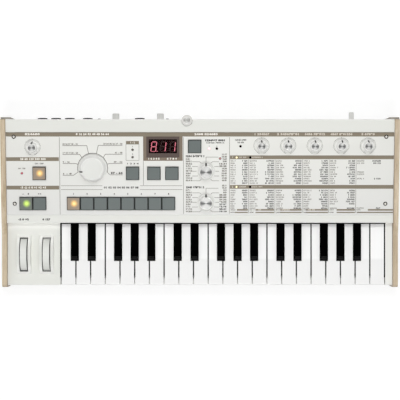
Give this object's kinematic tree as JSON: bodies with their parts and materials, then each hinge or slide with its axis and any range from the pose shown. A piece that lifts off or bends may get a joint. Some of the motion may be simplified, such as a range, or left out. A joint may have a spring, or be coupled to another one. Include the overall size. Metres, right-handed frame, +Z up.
{
  "type": "synthesizer",
  "caption": "Compact keyboard synthesizer with mini keys, sloped control plate with knobs, buttons and a lit display, two wheels at the left and wooden end panels.",
  "frame": {"origin": "middle of the footprint, on the ground under the feet", "axes": "+X to the right as the player sees it, +Y to the rear sockets, +Z up"},
  "size_m": [0.524, 0.232, 0.07],
  "materials": {
    "ivory_plastic": "fine-textured ivory moulding",
    "silver_plate": "silver-white lacquered plate",
    "wood": "pale satin wood",
    "smoked_window": "smoked clear acrylic",
    "display_black": "black display body",
    "lamp_plastic": "tinted clear lamp resin",
    "board_green": "coated circuit board",
    "inner_black": "black moulded plastic",
    "steel": "plated steel",
    "socket_black": "black socket plastic with plated nuts",
    "speaker": "steel basket and magnet with black cone",
    "rubber": "soft grey rubber",
    "key_white": "glossy white",
    "key_black": "glossy black",
    "button_plastic": "grey-green satin plastic",
    "knob_plastic": "satin ivory plastic with a spun metal cap",
    "input_knob_plastic": "pale grey satin plastic"
  },
  "bodies": {
    "case": {"top_case": "ivory_plastic", "control_panel": "silver_plate", "bottom_case": "ivory_plastic", "left_end_panel": "wood", "right_end_panel": "wood", "display_window": "smoked_window", "display_module": "display_black", "panel_leds": "lamp_plastic", "control_board": "board_green", "switches_and_pots": "inner_black", "keybed_frame": "inner_black", "key_pivot_rod": "steel", "key_contact_board": "board_green", "wheel_bracket": "inner_black", "rear_sockets": "socket_black", "speakers": "speaker", "feet_and_bumpers": "rubber", "panel_screws": "steel"},
    "c_keys": {"c_keys": "key_white"},
    "c_sharp_keys": {"c_sharp_keys": "key_black"},
    "d_keys": {"d_keys": "key_white"},
    "d_sharp_keys": {"d_sharp_keys": "key_black"},
    "e_keys": {"e_keys": "key_white"},
    "f_keys": {"f_keys": "key_white"},
    "f_sharp_keys": {"f_sharp_keys": "key_black"},
    "g_keys": {"g_keys": "key_white"},
    "g_sharp_keys": {"g_sharp_keys": "key_black"},
    "a_keys": {"a_keys": "key_white"},
    "a_sharp_keys": {"a_sharp_keys": "key_black"},
    "b_keys": {"b_keys": "key_white"},
    "arpeggio_button": {"arpeggio_button": "button_plastic"},
    "octave_down_button": {"octave_down_button": "button_plastic"},
    "octave_up_button": {"octave_up_button": "button_plastic"},
    "bank_button": {"bank_button": "button_plastic"},
    "write_button": {"write_button": "button_plastic"},
    "shift_button": {"shift_button": "button_plastic"},
    "timbre_button": {"timbre_button": "button_plastic"},
    "program_button_1": {"program_button_1": "button_plastic"},
    "program_button_2": {"program_button_2": "button_plastic"},
    "program_button_3": {"program_button_3": "button_plastic"},
    "program_button_4": {"program_button_4": "button_plastic"},
    "program_button_5": {"program_button_5": "button_plastic"},
    "program_button_6": {"program_button_6": "button_plastic"},
    "program_button_7": {"program_button_7": "button_plastic"},
    "program_button_8": {"program_button_8": "button_plastic"},
    "volume_knob": {"volume_knob": "knob_plastic"},
    "control_knob_1": {"control_knob_1": "knob_plastic"},
    "control_knob_2": {"control_knob_2": "knob_plastic"},
    "control_knob_3": {"control_knob_3": "knob_plastic"},
    "control_knob_4": {"control_knob_4": "knob_plastic"},
    "control_knob_5": {"control_knob_5": "knob_plastic"},
    "edit_knob_1": {"edit_knob_1": "knob_plastic"},
    "edit_knob_2": {"edit_knob_2": "knob_plastic"},
    "program_dial": {"program_dial": "knob_plastic"},
    "pitch_wheel": {"pitch_wheel": "ivory_plastic"},
    "mod_wheel": {"mod_wheel": "ivory_plastic"},
    "input_knob_1": {"input_knob_1": "input_knob_plastic"},
    "input_knob_2": {"input_knob_2": "input_knob_plastic"},
    "power_button": {"power_button": "input_knob_plastic"},
    "battery_cover": {"battery_cover": "ivory_plastic"}
  },
  "joints": [
    {"name": "c_keys_press", "type": "hinge", "parent": "case", "child": "c_keys", "pos_m": [0.03, 0.008, 0.028], "axis": [1, 0, 0], "range_deg": [0, 4], "stiffness_Nm_per_rad": 0.5, "springref_deg": -14.32},
    {"name": "c_sharp_keys_press", "type": "hinge", "parent": "case", "child": "c_sharp_keys", "pos_m": [0.03, 0.008, 0.028], "axis": [1, 0, 0], "range_deg": [0, 4], "stiffness_Nm_per_rad": 0.5, "springref_deg": -14.32},
    {"name": "d_keys_press", "type": "hinge", "parent": "case", "child": "d_keys", "pos_m": [0.03, 0.008, 0.028], "axis": [1, 0, 0], "range_deg": [0, 4], "stiffness_Nm_per_rad": 0.5, "springref_deg": -14.32},
    {"name": "d_sharp_keys_press", "type": "hinge", "parent": "case", "child": "d_sharp_keys", "pos_m": [0.03, 0.008, 0.028], "axis": [1, 0, 0], "range_deg": [0, 4], "stiffness_Nm_per_rad": 0.5, "springref_deg": -14.32},
    {"name": "e_keys_press", "type": "hinge", "parent": "case", "child": "e_keys", "pos_m": [0.03, 0.008, 0.028], "axis": [1, 0, 0], "range_deg": [0, 4], "stiffness_Nm_per_rad": 0.5, "springref_deg": -14.32},
    {"name": "f_keys_press", "type": "hinge", "parent": "case", "child": "f_keys", "pos_m": [0.03, 0.008, 0.028], "axis": [1, 0, 0], "range_deg": [0, 4], "stiffness_Nm_per_rad": 0.5, "springref_deg": -14.32},
    {"name": "f_sharp_keys_press", "type": "hinge", "parent": "case", "child": "f_sharp_keys", "pos_m": [0.03, 0.008, 0.028], "axis": [1, 0, 0], "range_deg": [0, 4], "stiffness_Nm_per_rad": 0.5, "springref_deg": -14.32},
    {"name": "g_keys_press", "type": "hinge", "parent": "case", "child": "g_keys", "pos_m": [0.03, 0.008, 0.028], "axis": [1, 0, 0], "range_deg": [0, 4], "stiffness_Nm_per_rad": 0.5, "springref_deg": -14.32},
    {"name": "g_sharp_keys_press", "type": "hinge", "parent": "case", "child": "g_sharp_keys", "pos_m": [0.03, 0.008, 0.028], "axis": [1, 0, 0], "range_deg": [0, 4], "stiffness_Nm_per_rad": 0.5, "springref_deg": -14.32},
    {"name": "a_keys_press", "type": "hinge", "parent": "case", "child": "a_keys", "pos_m": [0.03, 0.008, 0.028], "axis": [1, 0, 0], "range_deg": [0, 4], "stiffness_Nm_per_rad": 0.5, "springref_deg": -14.32},
    {"name": "a_sharp_keys_press", "type": "hinge", "parent": "case", "child": "a_sharp_keys", "pos_m": [0.03, 0.008, 0.028], "axis": [1, 0, 0], "range_deg": [0, 4], "stiffness_Nm_per_rad": 0.5, "springref_deg": -14.32},
    {"name": "b_keys_press", "type": "hinge", "parent": "case", "child": "b_keys", "pos_m": [0.03, 0.008, 0.028], "axis": [1, 0, 0], "range_deg": [0, 4], "stiffness_Nm_per_rad": 0.5, "springref_deg": -14.32},
    {"name": "arpeggio_button_press", "type": "slide", "parent": "case", "child": "arpeggio_button", "axis": [0, 0.1305, -0.9914], "range_m": [0, 0.001], "stiffness_N_per_m": 300, "springref_m": -0.001},
    {"name": "octave_down_button_press", "type": "slide", "parent": "case", "child": "octave_down_button", "axis": [0, 0.1305, -0.9914], "range_m": [0, 0.001], "stiffness_N_per_m": 300, "springref_m": -0.001},
    {"name": "octave_up_button_press", "type": "slide", "parent": "case", "child": "octave_up_button", "axis": [0, 0.1305, -0.9914], "range_m": [0, 0.001], "stiffness_N_per_m": 300, "springref_m": -0.001},
    {"name": "bank_button_press", "type": "slide", "parent": "case", "child": "bank_button", "axis": [0, 0.1305, -0.9914], "range_m": [0, 0.001], "stiffness_N_per_m": 300, "springref_m": -0.001},
    {"name": "write_button_press", "type": "slide", "parent": "case", "child": "write_button", "axis": [0, 0.1305, -0.9914], "range_m": [0, 0.001], "stiffness_N_per_m": 300, "springref_m": -0.001},
    {"name": "shift_button_press", "type": "slide", "parent": "case", "child": "shift_button", "axis": [0, 0.1305, -0.9914], "range_m": [0, 0.001], "stiffness_N_per_m": 300, "springref_m": -0.001},
    {"name": "timbre_button_press", "type": "slide", "parent": "case", "child": "timbre_button", "axis": [0, 0.1305, -0.9914], "range_m": [0, 0.001], "stiffness_N_per_m": 300, "springref_m": -0.001},
    {"name": "program_button_1_press", "type": "slide", "parent": "case", "child": "program_button_1", "axis": [0, 0.1305, -0.9914], "range_m": [0, 0.001], "stiffness_N_per_m": 300, "springref_m": -0.001},
    {"name": "program_button_2_press", "type": "slide", "parent": "case", "child": "program_button_2", "axis": [0, 0.1305, -0.9914], "range_m": [0, 0.001], "stiffness_N_per_m": 300, "springref_m": -0.001},
    {"name": "program_button_3_press", "type": "slide", "parent": "case", "child": "program_button_3", "axis": [0, 0.1305, -0.9914], "range_m": [0, 0.001], "stiffness_N_per_m": 300, "springref_m": -0.001},
    {"name": "program_button_4_press", "type": "slide", "parent": "case", "child": "program_button_4", "axis": [0, 0.1305, -0.9914], "range_m": [0, 0.001], "stiffness_N_per_m": 300, "springref_m": -0.001},
    {"name": "program_button_5_press", "type": "slide", "parent": "case", "child": "program_button_5", "axis": [0, 0.1305, -0.9914], "range_m": [0, 0.001], "stiffness_N_per_m": 300, "springref_m": -0.001},
    {"name": "program_button_6_press", "type": "slide", "parent": "case", "child": "program_button_6", "axis": [0, 0.1305, -0.9914], "range_m": [0, 0.001], "stiffness_N_per_m": 300, "springref_m": -0.001},
    {"name": "program_button_7_press", "type": "slide", "parent": "case", "child": "program_button_7", "axis": [0, 0.1305, -0.9914], "range_m": [0, 0.001], "stiffness_N_per_m": 300, "springref_m": -0.001},
    {"name": "program_button_8_press", "type": "slide", "parent": "case", "child": "program_button_8", "axis": [0, 0.1305, -0.9914], "range_m": [0, 0.001], "stiffness_N_per_m": 300, "springref_m": -0.001},
    {"name": "volume_knob_turn", "type": "hinge", "parent": "case", "child": "volume_knob", "pos_m": [-0.2199, 0.06913, 0.05683], "axis": [0, -0.1305, 0.9914], "range_deg": [-150, 150]},
    {"name": "control_knob_1_turn", "type": "hinge", "parent": "case", "child": "control_knob_1", "pos_m": [0.0808, 0.07091, 0.05706], "axis": [0, -0.1305, 0.9914], "range_deg": [-150, 150]},
    {"name": "control_knob_2_turn", "type": "hinge", "parent": "case", "child": "control_knob_2", "pos_m": [0.1157, 0.07091, 0.05706], "axis": [0, -0.1305, 0.9914], "range_deg": [-150, 150]},
    {"name": "control_knob_3_turn", "type": "hinge", "parent": "case", "child": "control_knob_3", "pos_m": [0.1506, 0.07091, 0.05706], "axis": [0, -0.1305, 0.9914], "range_deg": [-150, 150]},
    {"name": "control_knob_4_turn", "type": "hinge", "parent": "case", "child": "control_knob_4", "pos_m": [0.1855, 0.07091, 0.05706], "axis": [0, -0.1305, 0.9914], "range_deg": [-150, 150]},
    {"name": "control_knob_5_turn", "type": "hinge", "parent": "case", "child": "control_knob_5", "pos_m": [0.2204, 0.07091, 0.05706], "axis": [0, -0.1305, 0.9914], "range_deg": [-150, 150]},
    {"name": "edit_knob_1_turn", "type": "hinge", "parent": "case", "child": "edit_knob_1", "pos_m": [0.0079, 0.0373, 0.05264], "axis": [0, -0.1305, 0.9914], "range_deg": [-150, 150]},
    {"name": "edit_knob_2_turn", "type": "hinge", "parent": "case", "child": "edit_knob_2", "pos_m": [0.0079, -0.00355, 0.04726], "axis": [0, -0.1305, 0.9914], "range_deg": [-150, 150]},
    {"name": "program_dial_turn", "type": "hinge", "parent": "case", "child": "program_dial", "pos_m": [-0.1412, 0.04136, 0.05317], "axis": [0, -0.1305, 0.9914], "range_deg": [-210, 0]},
    {"name": "pitch_wheel_turn", "type": "hinge", "parent": "case", "child": "pitch_wheel", "pos_m": [-0.2331, -0.0727, 0.0265], "axis": [-1, 0, 0], "range_deg": [-35, 35], "stiffness_Nm_per_rad": 0.05},
    {"name": "mod_wheel_turn", "type": "hinge", "parent": "case", "child": "mod_wheel", "pos_m": [-0.2031, -0.0727, 0.0265], "axis": [-1, 0, 0], "range_deg": [0, 70]},
    {"name": "input_knob_1_turn", "type": "hinge", "parent": "case", "child": "input_knob_1", "pos_m": [-0.1117, 0.11, 0.034], "axis": [0, 1, 0], "range_deg": [-140, 140]},
    {"name": "input_knob_2_turn", "type": "hinge", "parent": "case", "child": "input_knob_2", "pos_m": [-0.0526, 0.11, 0.034], "axis": [0, 1, 0], "range_deg": [-140, 140]},
    {"name": "power_button_press", "type": "slide", "parent": "case", "child": "power_button", "axis": [0, -1, 0], "range_m": [0, 0.0025], "stiffness_N_per_m": 300, "springref_m": -0.002},
    {"name": "battery_cover_lift", "type": "slide", "parent": "case", "child": "battery_cover", "axis": [0, 0, -1], "range_m": [0, 0.02]}
  ]
}
